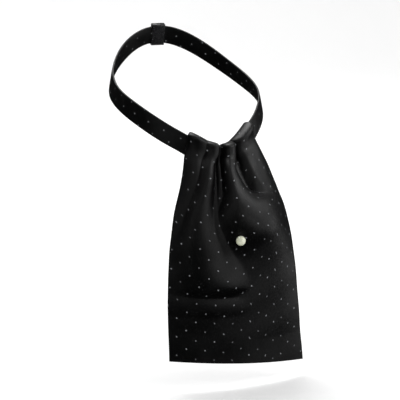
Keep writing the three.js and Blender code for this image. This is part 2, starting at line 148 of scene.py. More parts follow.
class Nodes:
    # short ways to add and join shader nodes
    def __init__(self, name):
        self.material = bpy.data.materials.new(name)
        self.material.use_nodes = True
        self.tree = self.material.node_tree
        self.shader = self.tree.nodes["Principled BSDF"]

    def add(self, kind, **settings):
        node = self.tree.nodes.new("ShaderNode" + kind)
        for key, value in settings.items():
            setattr(node, key, value)
        return node

    def join(self, source, target):
        self.tree.links.new(source, target)

    def put(self, socket, value):
        if isinstance(value, bpy.types.NodeSocket):
            self.join(value, socket)
        else:
            socket.default_value = value

    def math(self, operation, a, b=0.0, c=0.0):
        node = self.add("Math", operation=operation)
        for socket, value in zip(node.inputs, (a, b, c)):
            self.put(socket, value)
        return node.outputs[0]

    def vector(self, operation, a, b=(0, 0, 0), out=0):
        node = self.add("VectorMath", operation=operation)
        self.put(node.inputs[0], a)
        self.put(node.inputs[1], b)
        return node.outputs[out]

    def turned(self, source, turn=0.0, scale=(1, 1, 1), shift=(0, 0, 0)):
        node = self.add("Mapping")
        self.join(source, node.inputs["Vector"])
        node.inputs["Rotation"].default_value = (0, 0, turn)
        node.inputs["Scale"].default_value = scale
        node.inputs["Location"].default_value = shift
        return node.outputs[0]

    def noise(self, source, scale, detail=3.0, roughness=0.5, out="Fac"):
        node = self.add("TexNoise")
        self.join(source, node.inputs["Vector"])
        node.inputs["Scale"].default_value = scale
        node.inputs["Detail"].default_value = detail
        node.inputs["Roughness"].default_value = roughness
        return node.outputs[out]

    def ramp(self, source, low, high, valueLow=0.0, valueHigh=1.0):
        node = self.add("MapRange", interpolation_type="SMOOTHSTEP")
        for key, value in zip(("Value", "From Min", "From Max", "To Min", "To Max"),
                              (source, low, high, valueLow, valueHigh)):
            self.put(node.inputs[key], value)
        return node.outputs[0]

    def blend(self, amount, a, b):
        node = self.add("Mix", data_type="RGBA")
        self.put(node.inputs["Factor"], amount)
        self.put(node.inputs[6], a)
        self.put(node.inputs[7], b)
        return node.outputs[2]

    def bump(self, height, strength, distance):
        node = self.add("Bump")
        node.inputs["Strength"].default_value = strength
        node.inputs["Distance"].default_value = distance
        self.join(height, node.inputs["Height"])
        self.join(node.outputs[0], self.shader.inputs["Normal"])


silk = {
    "black": (0.0008, 0.0008, 0.0010, 1),
    "blackWorn": (0.0035, 0.0035, 0.0040, 1),
    "dot": (0.25, 0.26, 0.275, 1),
    "dotRadius": 0.62,                     # mm
    "dotPitch": 11.2,                      # mm between neighbouring dots, both ways
    "dotTurn": -41.0,                      # degrees from the blade's threads
    "dotShift": (0.398, 0.090),            # in dot pitches
    "twillPitch": 0.62,                    # mm
    "roughness": (0.38, 0.46),
    "specular": 0.4,
    "sheen": 0.0,
}


def silkTwill(look):
    # black satin twill: slanting ribs, a lattice of woven dots, slight shades, paler worn edges
    n = Nodes("black_silk_twill")
    cloth = n.add("UVMap", uv_map="clothMap").outputs[0]          # millimetres on the cloth
    turn = -np.radians(look["dotTurn"])
    pitch = look["dotPitch"]
    grain = n.noise(cloth, 3.2, 2.0)
    push = n.noise(cloth, 1.4, out="Color")
    push = n.vector("MULTIPLY", n.vector("SUBTRACT", push, (0.5, 0.5, 0.5)), (0.35, 0.35, 0))
    shaken = n.vector("ADD", cloth, push)
    lattice = n.turned(shaken, turn=turn, scale=(1 / pitch, 1 / pitch, 1),
                       shift=(0.5 - look["dotShift"][0], 0.5 - look["dotShift"][1], 0))
    cell = n.vector("SUBTRACT", n.vector("FRACTION", lattice), (0.5, 0.5, 0))
    flat = n.vector("MULTIPLY", cell, (pitch, pitch, 0))
    away = n.vector("LENGTH", flat, out=1)
    dot = n.ramp(away, look["dotRadius"] + 0.12, look["dotRadius"] - 0.12)

    slant = n.turned(cloth, turn=np.radians(63), scale=(1 / look["twillPitch"],) * 3)
    across = n.add("SeparateXYZ")
    n.join(slant, across.inputs[0])
    rib = n.math("SINE", n.math("MULTIPLY", across.outputs[0], 2 * np.pi))
    thread = n.math("SINE", n.math("MULTIPLY", across.outputs[1], 5.1 * np.pi))
    weave = n.math("ADD", n.math("MULTIPLY", rib, 0.6), n.math("MULTIPLY", thread, 0.25))

    worn = n.add("Attribute", attribute_name="edgeWear").outputs["Fac"]
    shade = n.noise(cloth, 0.045, 4.0)
    lighter = n.math("ADD", n.math("MULTIPLY", worn, 0.5), n.ramp(shade, 0.35, 0.75, 0.0, 0.35))
    lighter = n.math("ADD", lighter, n.math("MULTIPLY", rib, 0.10))
    ground = n.blend(lighter, look["black"], look["blackWorn"])
    fine = n.ramp(grain, 0.2, 0.7, 0.6, 1.0)
    broad = n.ramp(n.noise(cloth, 0.09, 1.0), 0.35, 0.65, 0.45, 1.0)
    strong = n.math("MULTIPLY", dot, n.math("MULTIPLY", fine, broad))
    n.join(n.blend(strong, ground, look["dot"]), n.shader.inputs["Base Color"])
    low, high = look["roughness"]
    n.join(n.math("ADD", n.ramp(shade, 0.3, 0.7, low, high), n.math("MULTIPLY", dot, 0.2)),
           n.shader.inputs["Roughness"])
    n.shader.inputs["Specular IOR Level"].default_value = look["specular"]
    n.shader.inputs["Sheen Weight"].default_value = look["sheen"]
    n.shader.inputs["Sheen Roughness"].default_value = 0.45
    height = n.math("ADD", weave, n.math("MULTIPLY", dot, 1.5))
    height = n.math("ADD", height, n.math("MULTIPLY", grain, 0.8))
    n.bump(height, 0.10, 0.0002)
    return n.material


def satinLining(look):
    # plain black satin on the hidden side, with fine ribs down its length
    n = Nodes("black_satin_lining")
    cloth = n.add("UVMap", uv_map="clothMap").outputs[0]
    across = n.add("SeparateXYZ")
    n.join(cloth, across.inputs[0])
    rib = n.math("SINE", n.math("MULTIPLY", across.outputs[0], 2 * np.pi / look["ribPitch"]))
    shade = n.noise(cloth, 0.06, 3.0)
    ground = n.blend(n.ramp(shade, 0.3, 0.7), look["black"], look["blackLight"])
    n.join(ground, n.shader.inputs["Base Color"])
    n.join(n.ramp(shade, 0.3, 0.7, *look["roughness"]), n.shader.inputs["Roughness"])
    n.shader.inputs["Specular IOR Level"].default_value = 0.5
    n.bump(n.math("ADD", rib, n.math("MULTIPLY", n.noise(cloth, 2.0), 1.5)), 0.08, 0.0002)
    return n.material


lining = {"black": (0.010, 0.010, 0.012, 1), "blackLight": (0.018, 0.018, 0.021, 1),
          "ribPitch": 0.5, "roughness": (0.34, 0.44)}


def lacquer():
    # black lacquered metal, with pale metal showing on its worn edges
    n = Nodes("black_lacquer")
    place = n.add("TexCoord").outputs["Object"]
    worn = n.add("Attribute", attribute_name="edgeWear").outputs["Fac"]
    speck = n.noise(place, 900, 4.0, 0.6)
    bare = n.ramp(n.math("MULTIPLY", worn, n.math("ADD", speck, 0.35)), 0.55, 0.75)
    colour = n.blend(bare, (0.012, 0.012, 0.013, 1), (0.42, 0.41, 0.39, 1))
    n.join(colour, n.shader.inputs["Base Color"])
    n.join(bare, n.shader.inputs["Metallic"])
    n.join(n.ramp(n.noise(place, 260, 3.0), 0.3, 0.7, 0.20, 0.34), n.shader.inputs["Roughness"])
    n.bump(n.noise(place, 700, 3.0), 0.05, 0.0002)
    return n.material


def polishedSilver():
    # bright metal, duller and rougher where it has tarnished
    n = Nodes("polished_silver")
    place = n.add("TexCoord").outputs["Object"]
    tarnish = n.noise(place, 1100, 4.0, 0.6)
    colour = n.blend(n.ramp(tarnish, 0.35, 0.7), (0.78, 0.78, 0.77, 1), (0.58, 0.57, 0.55, 1))
    n.join(colour, n.shader.inputs["Base Color"])
    n.join(n.ramp(tarnish, 0.3, 0.7, 0.14, 0.30), n.shader.inputs["Roughness"])
    n.shader.inputs["Metallic"].default_value = 1.0
    n.bump(n.noise(place, 2400, 2.0), 0.04, 0.0001)
    return n.material


def pearlLustre(look):
    # cream nacre: cloudy, with greener patches, under a thin clear coat
    n = Nodes("cream_nacre")
    place = n.add("TexCoord").outputs["Object"]
    cloudy = n.noise(place, 420, 3.0)
    colour = n.blend(n.ramp(cloudy, 0.3, 0.7), look["cream"], look["greenish"])
    n.join(colour, n.shader.inputs["Base Color"])
    n.join(n.ramp(cloudy, 0.3, 0.7, 0.20, 0.30), n.shader.inputs["Roughness"])
    n.shader.inputs["Subsurface Weight"].default_value = 0.12
    n.shader.inputs["Subsurface Radius"].default_value = (0.002, 0.0018, 0.0012)
    n.shader.inputs["Subsurface Scale"].default_value = 1.0
    n.shader.inputs["Coat Weight"].default_value = 1.0
    n.shader.inputs["Coat IOR"].default_value = 2.3
    n.shader.inputs["Coat Roughness"].default_value = 0.24
    n.bump(n.noise(place, 900, 2.0), 0.03, 0.0002)
    return n.material


nacre = {"cream": (0.77, 0.785, 0.62, 1), "greenish": (0.68, 0.71, 0.53, 1)}

silkMaterial = silkTwill(silk)
liningMaterial = satinLining(lining)
lacquerMaterial = lacquer()
silverMaterial = polishedSilver()
nacreMaterial = pearlLustre(nacre)
print("stage: materials")

# the loop round the neck

neck = {"halfWidth": 64.0, "halfDepth": 72.0, "rise": 37.0, "sideDip": 1.1, "throatDip": 4.9,
        "flare": np.radians(13),
        "pull": 8.0, "pullMiddle": 0.1, "pullReach": 0.7}   # how the front blade draws the band down
band = {"width": 16.0, "thickness": 2.2, "corner": 0.6, "endGap": 0.8, "lengthSteps": 620,
        "rimShare": 0.75, "puff": 0.18, "ripple": 0.16, "sway": 0.12}
cloth = {"thickness": 1.8, "clearance": 0.55,
         "shaved": 0.1,                    # the scene's blades are this much thinner than the CAD's
         "liningEase": 1.2, "liningDepth": 0.22, "wearWidth": 0.9}


def neckLoop(angle):
    # an ellipse from above that rises from the throat to the nape, dips once more at the throat and
    # is drawn down there by a bump (1 - off^2)^3; gives points and directions along, up and out
    sin, cos = np.sin(angle), np.cos(angle)
    a, b, rise = neck["halfWidth"], neck["halfDepth"], neck["rise"]
    side, dip = neck["sideDip"], neck["throatDip"]
    off = np.clip((angle - neck["pullMiddle"]) / neck["pullReach"], -1, 1)
    drawn = neck["pull"] * (1 - off ** 2) ** 3
    drawnSlope = -6 * neck["pull"] * off * (1 - off ** 2) ** 2 / neck["pullReach"]
    point = vec(a * sin, -b * cos,
                -rise * cos + side * (np.cos(2 * angle) - 1) - dip * np.cos(3 * angle) - drawn)
    along = unit(vec(a * cos, b * sin, rise * sin - 2 * side * np.sin(2 * angle)
                     + 3 * dip * np.sin(3 * angle) - drawnSlope))
    leaning = unit(vec(sin / a, -cos / b, 0)) * np.cos(neck["flare"])
    leaning[..., 2] = np.sin(neck["flare"])
    up = unit(np.cross(leaning, along))
    return point, along, up, np.cross(along, up)


def onBand(sideways, out, up):
    # a point beside the band at a sideways place, at a height on its width
    point, _, upward, outward = neckLoop(np.arcsin(sideways / neck["halfWidth"]))
    return point + outward * np.asarray(out)[..., None] + upward * np.asarray(up)[..., None]


def roundedRectangle(halfOut, halfUp, corner, steps):
    # corner arcs joined by straight sides, as points (out, up)
    turn = (np.arange(4)[:, None] + np.linspace(0, 1, steps + 1)[None, :]) * np.pi / 2
    middleOut = np.array([1, -1, -1, 1])[:, None] * (halfOut - corner)
    middleUp = np.array([1, 1, -1, -1])[:, None] * (halfUp - corner)
    section = np.stack([middleOut + corner * np.cos(turn), middleUp + corner * np.sin(turn)], -1)
    return section.reshape(-1, 2)


def makeNeckband():
    # the band's section: a rounded strip, a little fuller in the middle, whose front and back are cut
    # into strips; it is carried along the loop, thinner and narrower by a hair from place to place
    half, wide = band["thickness"] / 2, band["width"] / 2
    upSteps, rim = 26, 5
    t = np.linspace(0, np.pi, rim + 2)[1:-1]
    up = np.linspace(-1, 1, upSteps + 1)
    ups = np.concatenate([up, 1 + 0 * t, -up, -1 + 0 * t])
    rimOut = np.concatenate([1 + 0 * up, np.cos(t), -1 + 0 * up, -np.cos(t)])
    rimUp = np.concatenate([0 * up, np.sin(t), 0 * up, -np.sin(t)])
    end = np.pi - band["endGap"] / 2 / neck["halfWidth"]
    angle = np.linspace(-end, end, band["lengthSteps"] + 1)
    point, along, upward, outward = neckLoop(angle)
    length = np.insert(np.cumsum(np.linalg.norm(np.diff(point, axis=0), axis=1)), 0, 0)
    middle = length[-1] / 2
    walk = length - middle
    endRound = np.clip(np.minimum(length, length[-1] - length) / half, 0, 1)
    close = np.sqrt(1 - (1 - endRound) ** 2)                   # rounds the band's two ends
    corner = band["rimShare"] * half
    fuller = 1 + band["puff"] * (1 - ups[None, :] ** 2) - band["puff"]
    wave = (np.sin(walk / 9.3) * np.sin(walk / 23.0 + 1.1))[:, None] * np.sin(2.2 * ups[None, :])
    wave = band["ripple"] * wave
    out = rimOut[None, :] * half * fuller * close[:, None] + wave
    sway = band["sway"] * np.sin(walk / 17.0)[:, None]
    high = ups[None, :] * (wide - corner) + rimUp[None, :] * corner + sway * ups[None, :]
    points = point[:, None] + outward[:, None] * out[..., None] + upward[:, None] * high[..., None]
    rows, columns = high.shape
    number = np.arange(rows * columns).reshape(rows, columns)
    faces = gridFaces(np.concatenate([number, number[:, :1]], axis=1), flip=True)
    caps = np.array([number[0], number[-1][::-1]])
    acrossLength = np.concatenate([up * wide, wide + t * half, 2 * wide - up * wide + half * np.pi,
                                   3 * wide + half * np.pi + t * half])
    uv = np.stack(np.broadcast_arrays(walk[:, None], acrossLength[None, :]), -1).reshape(-1, 2)
    edge = np.broadcast_to((np.abs(ups) ** 14)[None, :], (rows, columns)).ravel()
    return points.reshape(-1, 3), faces, caps, uv, edge


bandPoints, bandFaces, bandCaps, bandUv, bandEdge = makeNeckband()
neckband = makePiece("neckband_cloth", bandPoints, bandFaces, [silkMaterial], bandUv, bandEdge)


def capEnds(piece, caps):
    # closes a strip's two open ends
    built = bmesh.new()
    built.from_mesh(piece.data)
    built.verts.ensure_lookup_table()
    for ring in caps:
        built.faces.new([built.verts[int(i)] for i in ring])
    bmesh.ops.recalc_face_normals(built, faces=built.faces)
    built.to_mesh(piece.data)
    built.free()


capEnds(neckband, bandCaps)
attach(neckband, "root")
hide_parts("neckband")
print("stage: neckband", len(neckband.data.polygons))

# sheets of cloth


def sheetPiece(name, middle, thickness, uv, toEdge, liningInset, materials):
    # a sheet: each point of the middle surface moves half a thickness to each side along its normal;
    # the thickness falls to nothing at the rim as a quarter circle, where front and back share points
    down = np.gradient(middle, axis=0)
    across = np.gradient(middle, axis=1)
    normal = unit(np.cross(down, across))
    half = thickness / 2
    near = np.clip(toEdge / half, 0, 1)
    push = half * np.sqrt(np.clip(1 - (1 - near) ** 2, 0, 1))
    rows, columns = toEdge.shape
    front = middle + normal * push[..., None]
    inset = cloth["liningDepth"] * smooth((toEdge - liningInset) / cloth["liningEase"])
    back = middle - normal * (push * (1 - inset))[..., None]    # the lining lies below the hem
    frontNumber = np.arange(rows * columns).reshape(rows, columns)
    backNumber = frontNumber.copy()
    inner = np.arange((rows - 2) * (columns - 2)).reshape(rows - 2, columns - 2) + rows * columns
    backNumber[1:-1, 1:-1] = inner
    points = np.concatenate([front.reshape(-1, 3), back[1:-1, 1:-1].reshape(-1, 3)])
    faces = np.concatenate([gridFaces(frontNumber), gridFaces(backNumber, flip=True)])
    uvs = np.concatenate([uv.reshape(-1, 2), uv[1:-1, 1:-1].reshape(-1, 2)])
    wear = np.exp(-toEdge / cloth["wearWidth"])
    edge = np.concatenate([wear.ravel(), wear[1:-1, 1:-1].ravel()])
    faceEdge = toEdge[:-1, :-1].ravel()
    lined = (faceEdge > liningInset) & (toEdge[1:, 1:].ravel() > liningInset)
    faceMaterial = np.concatenate([np.zeros(len(faceEdge)), lined.astype(float)])
    return makePiece(name, points, faces, materials, uvs, edge, faceMaterial)


# The front blade, in rows down from the top of the band, as in the CAD but for the hem's lean: forward
# is how far its middle stands in front of the neck's axis, bend the radius round the chest, left and
# right its sides, and lift and lean the shape of its rows.
bladeRows = rowsOf("drop forward bend left right lift lean", [
    (0, 75.0, 54, -26.9, 36.7, 0.0091, 0),
    (15, 79.0, 52, -28.1, 36.6, 0.0080, 0.01),
    (40, 95.5, 46, -35.4, 44.8, 0.0060, 0.03),
    (70, 109.0, 54, -45.6, 54.4, 0.0040, 0.05),
    (100, 112.0, 75, -51.4, 59.4, 0.0030, 0.06),
    (140, 113.0, 117, -54.6, 64.4, 0.0016, 0.02),
    (184, 113.5, 180, -55.2, 69.0, 0.0000, -0.10),
])

# Every fold: its left border, highest line and right border as shares of the width, its height, and
# the power of its section, from 0.5 for a full roll to 2 for a soft swell.
foldColumns = "drop from crest to high sharp"
folds = {
    "leftRoll": rowsOf(foldColumns, [
        (0, 0.000, 0.110, 0.260, 6.5, 0.5), (20, 0.000, 0.120, 0.250, 6.0, 0.7),
        (35, -0.030, 0.115, 0.200, 4.2, 1.0), (60, -0.080, 0.050, 0.120, 2.6, 1.4),
        (85, -0.100, 0.030, 0.090, 0.0, 2.0)]),
    "secondRoll": rowsOf(foldColumns, [
        (0, 0.190, 0.300, 0.385, 9.0, 0.5), (10, 0.190, 0.290, 0.375, 9.0, 0.5),
        (24, 0.170, 0.260, 0.335, 8.8, 0.6), (40, 0.120, 0.215, 0.300, 7.6, 0.8),
        (56, 0.060, 0.175, 0.290, 6.2, 1.2), (74, 0.010, 0.160, 0.320, 5.0, 1.6),
        (90, -0.020, 0.170, 0.400, 4.6, 1.8), (106, 0.000, 0.220, 0.520, 4.4, 2.0),
        (114, 0.020, 0.280, 0.600, 4.2, 2.0), (120, 0.040, 0.320, 0.640, 3.4, 2.0),
        (124, 0.050, 0.340, 0.640, 0.8, 2.0), (127, 0.050, 0.340, 0.640, 0.0, 2.0)]),
    "innerRidge": rowsOf(foldColumns, [
        (6, 0.400, 0.425, 0.455, 0.0, 1.2), (18, 0.375, 0.405, 0.440, 1.8, 1.2),
        (36, 0.340, 0.375, 0.410, 2.2, 1.2), (48, 0.330, 0.370, 0.420, 1.4, 1.5),
        (60, 0.330, 0.380, 0.440, 0.0, 2.0)]),
    "thirdRoll": rowsOf(foldColumns, [
        (0, 0.475, 0.550, 0.704, 9.0, 0.5), (10, 0.460, 0.530, 0.690, 9.4, 0.5),
        (24, 0.430, 0.485, 0.595, 9.8, 0.55), (32, 0.415, 0.480, 0.610, 10.4, 0.6),
        (40, 0.395, 0.485, 0.650, 11.0, 0.75), (48, 0.365, 0.510, 0.760, 11.8, 0.9),
        (56, 0.335, 0.555, 0.950, 12.4, 1.0), (65, 0.345, 0.615, 1.040, 12.4, 1.15),
        (77, 0.390, 0.700, 1.080, 11.0, 1.4), (90, 0.440, 0.790, 1.100, 8.2, 1.7),
        (108, 0.440, 0.860, 1.150, 4.8, 2.0), (135, 0.400, 0.900, 1.200, 2.0, 2.0),
        (165, 0.400, 0.900, 1.200, 0.0, 2.0)]),
    "rightRoll": rowsOf(foldColumns, [
        (0, 0.704, 0.800, 1.000, 6.5, 0.5), (12, 0.695, 0.760, 1.020, 7.0, 0.55),
        (24, 0.675, 0.745, 1.050, 7.2, 0.8), (36, 0.680, 0.770, 1.080, 6.6, 1.1),
        (48, 0.700, 0.820, 1.100, 5.6, 1.4), (62, 0.680, 0.860, 1.150, 3.4, 1.8),
        (80, 0.640, 0.870, 1.150, 0.0, 2.0)]),
    "belly": rowsOf(foldColumns, [
        (70, 0.160, 0.340, 0.600, 0.0, 2.0), (80, 0.140, 0.340, 0.600, 0.0, 2.0),
        (90, 0.100, 0.340, 0.600, 0.4, 2.0), (104, 0.070, 0.340, 0.620, 2.8, 2.0),
        (114, 0.040, 0.340, 0.640, 4.6, 1.8), (120, 0.030, 0.340, 0.640, 4.2, 1.8),
        (124, 0.020, 0.340, 0.640, 1.0, 1.8), (127, 0.020, 0.340, 0.640, 0.0, 1.8)]),
    "buckle": rowsOf(foldColumns, [
        (126, -0.400, 0.250, 0.680, 0.0, 1.2), (132, -0.400, 0.250, 0.680, 1.2, 1.2),
        (138, -0.400, 0.250, 0.680, 1.2, 1.2), (143, -0.400, 0.250, 0.680, 0.1, 1.2),
        (146, -0.400, 0.250, 0.680, 0.0, 1.2)]),
}
creaseRows = rowsOf("drop first second third", [
    (0, 0.220, 0.430, 0.704), (10, 0.215, 0.420, 0.700), (24, 0.200, 0.385, 0.640),
    (40, 0.170, 0.345, 0.675), (58, 0.180, 0.370, 0.740), (80, 0.250, 0.500, 0.750)])

nearOut = band["thickness"] / 2 + cloth["clearance"] + cloth["thickness"] / 2
floorOut = nearOut + cloth["clearance"] + cloth["thickness"]
chestTop = -33.0                           # the height that the blades' drops are measured from

blade = {"headBlend": 26.0, "evenFrom": 58.0, "columnsPerRoll": 34, "rim": (0.0, 0.1, 0.28, 0.55, 0.9),
         "tuckBottom": -7.0, "tuckRows": 14, "crestRows": 22, "crestFloor": 1.3, "crestSwell": 0.3,
         "bottom": 184.0, "rowStep": 0.85, "liningInset": 11.0,
         "gathers": 0.16, "slanting": 0.22}        # heights of the shallow cockles


def foldHeight(across, drop):
    # overlapping folds join as a power mean, so that they meet without adding up
    total = 0
    for table in folds.values():
        high, crest = valueAt(table, "high", drop), valueAt(table, "crest", drop)
        border = np.where(across < crest, valueAt(table, "from", drop), valueAt(table, "to", drop))
        off = (across - crest) / (border - crest)
        section = np.clip(1 - off ** 2, 1e-9, 1) ** valueAt(table, "sharp", drop)
        total = total + (np.clip(high, 0, None) * np.where(np.abs(off) < 1, section, 0)) ** 3
    return np.cbrt(total)


def ripples(across, drop, look):
    # shallow cockles: long waves that run down from the gathers and fade, and slanting ones below
    fade = np.exp(-((drop - 42) / 34) ** 2)
    gathers = np.sin(2 * np.pi * (6.3 * across + 0.5 * np.sin(drop / 31)))
    slanting = np.sin(2 * np.pi * (1.7 * across + drop / 47))
    slanting = slanting * np.sin(2 * np.pi * (0.9 * across - drop / 71) + 0.8)
    return look["gathers"] * fade * gathers + look["slanting"] * smooth(drop / 60) * slanting


def onChest(sideways, drop, behind):
    # the chest: rows that bend round it and smile up at both sides, leaning back like the band
    forward, bend = valueAt(bladeRows, "forward", drop), valueAt(bladeRows, "bend", drop)
    lift, lean = valueAt(bladeRows, "lift", drop), valueAt(bladeRows, "lean", drop)
    point = vec(sideways, -forward + sideways ** 2 / (2 * bend),
                chestTop + lift * sideways ** 2 + lean * sideways - drop)
    out = unit(vec(sideways / bend, -1, np.tan(neck["flare"])))
    return point - out * np.asarray(behind)[..., None], out


def sidewaysAt(across, drop):
    return mix(valueAt(bladeRows, "left", drop), valueAt(bladeRows, "right", drop), across)


def frontPoint(across, drop):
    # the band's own shape at the head gives way to the chest's, and the folds stand on it
    blendIn = smooth(drop / blade["headBlend"])[..., None]
    chest, chestOut = onChest(sidewaysAt(across, drop), drop, 0)
    atTop = sidewaysAt(across, 0 * drop)
    head = onBand(atTop, floorOut, band["width"] / 2 - drop)
    topEdge = onBand(atTop, floorOut, band["width"] / 2)
    head[..., 0] = topEdge[..., 0] + sidewaysAt(across, drop) - atTop
    out = unit(mix(neckLoop(np.arcsin(atTop / neck["halfWidth"]))[3], chestOut, blendIn))
    high = foldHeight(across, drop) + ripples(across, drop, blade)
    return mix(head, chest, blendIn) + out * high[..., None]


def columnShares(drop):
    # close together beside the creases at the top, even lower down, and a few more along both rims
    width = valueAt(bladeRows, "right", drop) - valueAt(bladeRows, "left", drop)
    rim = np.array(blade["rim"])[None, :] / width[:, None]
    last = rim[:, -1:]
    creases = [valueAt(creaseRows, k, drop) for k in ("first", "second", "third")]
    creases = np.stack([0 * drop] + creases + [0 * drop + 1], -1)
    even = np.arange(1, blade["columnsPerRoll"] + 1) / blade["columnsPerRoll"]
    close = (1 - np.cos(np.pi * even)) / 2
    within = mix(close[None, :], even[None, :], smooth(drop / blade["evenFrom"])[:, None])
    rolls = [mix(creases[:, k:k + 1], creases[:, k + 1:k + 2], within) for k in range(4)]
    spread = last + (1 - 2 * last) * np.concatenate([0 * last] + rolls, axis=1)
    return np.concatenate([rim[:, :-1], spread, 1 - rim[:, -2::-1]], axis=1)


def makeFrontBlade():
    rim = np.array(blade["rim"])
    up = blade["tuckBottom"] + np.concatenate([rim[:-1], np.linspace(
        rim[-1], band["width"] / 2 - blade["tuckBottom"], blade["tuckRows"])[:-1]])
    turn = np.linspace(1, 0, blade["crestRows"] + 1)
    drops = np.arange(blade["rowStep"], blade["bottom"] - rim[-1], blade["rowStep"])
    drops = np.concatenate([drops, blade["bottom"] - rim[::-1]])
    head = columnShares(np.zeros(1))
    tuck = onBand(sidewaysAt(head, 0 * head) + 0 * up[:, None], -nearOut, up[:, None] + 0 * head)
    front = floorOut + foldHeight(head, 0 * head)
    halfDepth = (front + nearOut) / 2
    high = blade["crestFloor"] + blade["crestSwell"] * halfDepth
    crest = onBand(sidewaysAt(head, 0 * head) + 0 * turn[:, None],
                   (front - nearOut) / 2 + halfDepth * np.cos(np.pi * turn)[:, None],
                   band["width"] / 2 + high * np.sin(np.pi * turn)[:, None])
    shares = columnShares(drops)
    body = frontPoint(shares, drops[:, None] + 0 * shares)
    middle = np.concatenate([tuck, crest, body])
    middleColumn = middle.shape[1] // 2
    u = arcAlong(middle, 1)
    u = u - u[:, middleColumn:middleColumn + 1]
    v = arcAlong(middle, 0)
    v = v - v[len(tuck) + len(crest)][None, :]
    toSide = np.minimum(arcAlong(middle, 1), arcAlong(middle, 1)[:, -1:] - arcAlong(middle, 1))
    toEnd = np.minimum(arcAlong(middle, 0), arcAlong(middle, 0)[-1:] - arcAlong(middle, 0))
    toEdge = np.minimum(toSide, toEnd)
    print("front blade width at head, bottom:", np.ptp(u[len(tuck) + len(crest)]), np.ptp(u[-1]),
          "length", arcAlong(middle, 0)[-1, middleColumn], "rows", middle.shape[:2])
    return middle, np.stack([u, v], -1), toEdge


frontMiddle, frontUv, frontToEdge = makeFrontBlade()
sheetThickness = cloth["thickness"] - cloth["shaved"]
sheetMaterials = [silkMaterial, liningMaterial]
frontBlade = sheetPiece("front_blade_cloth", frontMiddle, sheetThickness, frontUv, frontToEdge,
                        blade["liningInset"], sheetMaterials)
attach(frontBlade, "root")
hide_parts("front_blade")
print("stage: front blade", len(frontBlade.data.polygons))

# under blade

underBlade = {"topOnBand": 6.0, "bottom": 160.0, "behindHead": 2.35, "behindChest": 4.2,
              "looseBy": 50.0, "headHalf": 19.0, "chestHalf": 54.0, "flareEnd": 150.0, "middle": 6.0,
              "columns": 84, "rowStep": 1.5, "liningInset": 9.0}


def makeUnderBlade():
    # plain and smooth, from a narrow head in front of the band to nearly the front blade's width
    rim = np.array(blade["rim"])
    drops = np.arange(rim[-1], underBlade["bottom"] - rim[-1], underBlade["rowStep"])
    drops = np.concatenate([rim[:-1], drops, underBlade["bottom"] - rim[::-1]])[:, None]
    opened = np.sin(np.minimum(drops / underBlade["flareEnd"], 1) * np.pi / 2)
    half = mix(underBlade["headHalf"], underBlade["chestHalf"], opened)
    side = rim[None, :] / (2 * half)
    last = side[:, -1:]
    share = mix(last, 1 - last, np.linspace(0, 1, underBlade["columns"])[None, :])
    share = np.concatenate([side[:, :-1], share, 1 - side[:, -2::-1]], axis=1)
    drop = drops + 0 * share
    sideways = underBlade["middle"] * opened + half * (2 * share - 1)
    blendIn = smooth(drop / blade["headBlend"])[..., None]
    head = onBand(sideways, nearOut, underBlade["topOnBand"] - drop)
    loose = smooth(drop / underBlade["looseBy"])
    behind = mix(underBlade["behindHead"], underBlade["behindChest"], loose)
    chest = onChest(sideways, drop + band["width"] / 2 - underBlade["topOnBand"], behind)[0]
    middle = mix(head, chest, blendIn)
    u, v = arcAlong(middle, 1), arcAlong(middle, 0)
    toEdge = np.minimum(np.minimum(u, u[:, -1:] - u), np.minimum(v, v[-1:] - v))
    print("under blade widths", np.ptp(u[0]), np.ptp(u[-1]), "length", v[-1, v.shape[1] // 2])
    return middle, np.stack([u - u[:, -1:] / 2, v], -1), toEdge


underMiddle, underUv, underToEdge = makeUnderBlade()
underPiece = sheetPiece("under_blade_cloth", underMiddle, sheetThickness, underUv, underToEdge,
                        underBlade["liningInset"], sheetMaterials)
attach(underPiece, "root")
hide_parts("under_blade")
print("stage: under blade", len(underPiece.data.polygons))

# slide at the nape

slide = {"length": 12.0, "wall": 1.2, "clearance": 0.7, "endRound": 0.6}


def makeSlide():
    # a rounded rectangle pushed along the band; its ends are rounded over from outside to inside
    nape, along, up, out = (v[0] for v in neckLoop(np.array([np.pi])))
    innerOut = band["thickness"] / 2 + slide["clearance"]
    innerUp = band["width"] / 2 + slide["clearance"]
    turn = np.linspace(0, np.pi, 9)
    halfWall = slide["wall"] / 2
    endRound = slide["endRound"] * halfWall
    halfLength = slide["length"] / 2 - endRound
    grow = np.concatenate([halfWall + halfWall * np.cos(turn), halfWall - halfWall * np.cos(turn)])
    shift = halfLength + endRound * np.sin(turn)
    shift = np.concatenate([shift, -shift])
    rings = []
    for more, push in zip(grow, shift):
        ring = roundedRectangle(innerOut + more, innerUp + more, band["corner"] + more * 0.5, 6)
        rings.append(nape + out * ring[:, :1] + up * ring[:, 1:] + along * push)
    points = np.array(rings)
    rows, columns = points.shape[:2]
    number = np.arange(rows * columns).reshape(rows, columns)
    number = np.concatenate([number, number[:1]])
    number = np.concatenate([number, number[:, :1]], axis=1)
    edge = np.broadcast_to((1 - np.abs(grow / halfWall - 1))[:, None], (rows, columns)).ravel()
    return points.reshape(-1, 3), gridFaces(number), edge


slidePoints, slideFaces, slideEdge = makeSlide()
slidePiece = makePiece("band_slide_metal", slidePoints, slideFaces, [lacquerMaterial], edge=slideEdge)
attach(slidePiece, "root")
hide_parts("band_slide")
print("stage: slide")

# pearl and pin

pearl = {"diameter": 8.1, "gapToCup": 0.15}
pin = {"drop": 77.2, "across": 0.495, "postRadius": 0.6, "cupRadius": 2.6, "cupDepth": 1.3,
       "clothClearance": 0.35, "keeperRadius": 3.2, "keeperThickness": 1.0}


